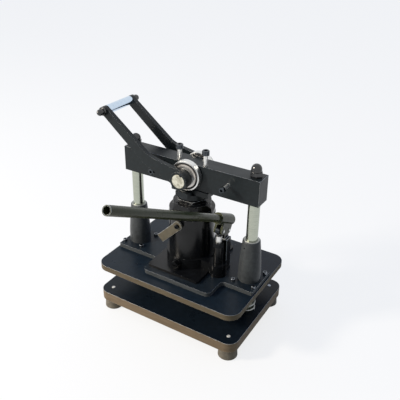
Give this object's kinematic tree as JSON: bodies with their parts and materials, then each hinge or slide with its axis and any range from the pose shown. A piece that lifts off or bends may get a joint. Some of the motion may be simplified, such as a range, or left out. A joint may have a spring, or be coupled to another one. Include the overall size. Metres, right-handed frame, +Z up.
{
  "type": "hydraulic die cutting press",
  "caption": "Hand operated bench press: a bottle jack drives a column-guided plate onto a thick base, and a lever with eccentric rollers brings the plate down quickly.",
  "frame": {"origin": "on the floor, under the middle of the box round the whole press at rest", "axes": "+X to the right seen from the operator, -Y towards the operator, +Z up"},
  "size_m": [0.391, 0.507, 0.488],
  "materials": {
    "black_paint": "satin",
    "black_oxide": "satin",
    "enamel": "gloss",
    "chrome": "polished",
    "bright_steel": "ground",
    "bronze": "satin",
    "rubber": "matte"
  },
  "bodies": {
    "frame": {"base_plate": "black_paint", "rubber_feet": "rubber", "foot_screws": "bright_steel", "left_column": "chrome", "right_column": "chrome", "column_foot_nuts": "black_oxide", "crossbeam": "black_paint", "column_acorn_nuts": "black_oxide", "lever_stop_screws": "bright_steel", "beam_bush": "bronze", "left_return_spring": "bright_steel", "right_return_spring": "bright_steel"},
    "quick_lever": {"lever_shaft": "bright_steel", "eccentric_collars": "black_oxide", "roller_inner_rings": "bright_steel", "roller_balls": "chrome", "front_lever_arm": "black_paint", "rear_lever_arm": "black_paint", "hub_keys": "black_oxide", "lever_grip": "chrome", "grip_rod": "bright_steel", "grip_acorn_nuts": "black_oxide"},
    "front_roller": {"front_roller_ring": "chrome", "front_roller_shield": "rubber"},
    "rear_roller": {"rear_roller_ring": "chrome", "rear_roller_shield": "rubber"},
    "ram_yoke": {"yoke": "black_paint", "guide_screws": "bright_steel", "jack_ram": "chrome", "ram_piston_seal": "rubber"},
    "platen": {"press_plate": "black_paint", "carrier_plate": "black_paint", "left_guide_sleeve": "black_paint", "right_guide_sleeve": "black_paint", "guide_bushes": "bronze", "wiper_rings": "chrome", "carrier_screws": "black_oxide", "jack_base": "enamel", "jack_clamp_screws": "black_oxide", "jack_tank": "enamel", "jack_cylinder": "bright_steel", "jack_cap": "enamel", "gland_nut": "enamel", "ram_seal": "rubber", "oil_plug": "rubber", "tank_strap": "black_paint", "strap_screw": "black_oxide", "pump_cylinder": "enamel", "pump_gland": "black_oxide", "fulcrum_post": "enamel", "fulcrum_pin": "bright_steel"},
    "handle": {"handle_socket": "black_paint", "pump_handle": "black_paint", "plunger_pin": "bright_steel"},
    "plunger": {"pump_plunger": "chrome"},
    "valve": {"release_valve": "bright_steel"}
  },
  "joints": [
    {"name": "lever_swing", "type": "hinge", "parent": "frame", "child": "quick_lever", "pos_m": [0.0105, 0.12355, 0.36296], "axis": [0, 1, 0], "range_deg": [0, 148]},
    {"name": "front_roller_spin", "type": "hinge", "parent": "quick_lever", "child": "front_roller", "pos_m": [0.01322, 0.09605, 0.36715], "axis": [0, 1, 0], "continuous": true},
    {"name": "rear_roller_spin", "type": "hinge", "parent": "quick_lever", "child": "rear_roller", "pos_m": [0.01322, 0.15105, 0.36715], "axis": [0, 1, 0], "continuous": true},
    {"name": "yoke_slide", "type": "slide", "parent": "frame", "child": "ram_yoke", "axis": [0, 0, -1], "range_m": [0, 0.0106], "stiffness_N_per_m": 4000, "springref_m": -0.1, "deforming": ["left_return_spring", "right_return_spring"]},
    {"name": "ram_stroke", "type": "slide", "parent": "ram_yoke", "child": "platen", "axis": [0, 0, -1], "range_m": [0, 0.048], "stiffness_N_per_m": 4000, "springref_m": -0.1, "deforming": ["left_return_spring", "right_return_spring"]},
    {"name": "handle_pump", "type": "hinge", "parent": "platen", "child": "handle", "pos_m": [0.0945, 0.1267, 0.24442], "axis": [1, 0, 0], "range_deg": [0, 40]},
    {"name": "plunger_slide", "type": "slide", "parent": "platen", "child": "plunger", "axis": [0, 0, -1], "range_m": [0, 0.0192]},
    {"name": "valve_turn", "type": "hinge", "parent": "platen", "child": "valve", "pos_m": [0.0095, 0.05855, 0.16], "axis": [0, -1, 0], "range_deg": [0, 180]}
  ],
  "couplings": [
    {"joint": "yoke_slide", "follows": "lever_swing", "m_per_rad": 0.0041},
    {"joint": "plunger_slide", "follows": "handle_pump", "m_per_rad": 0.027435}
  ]
}
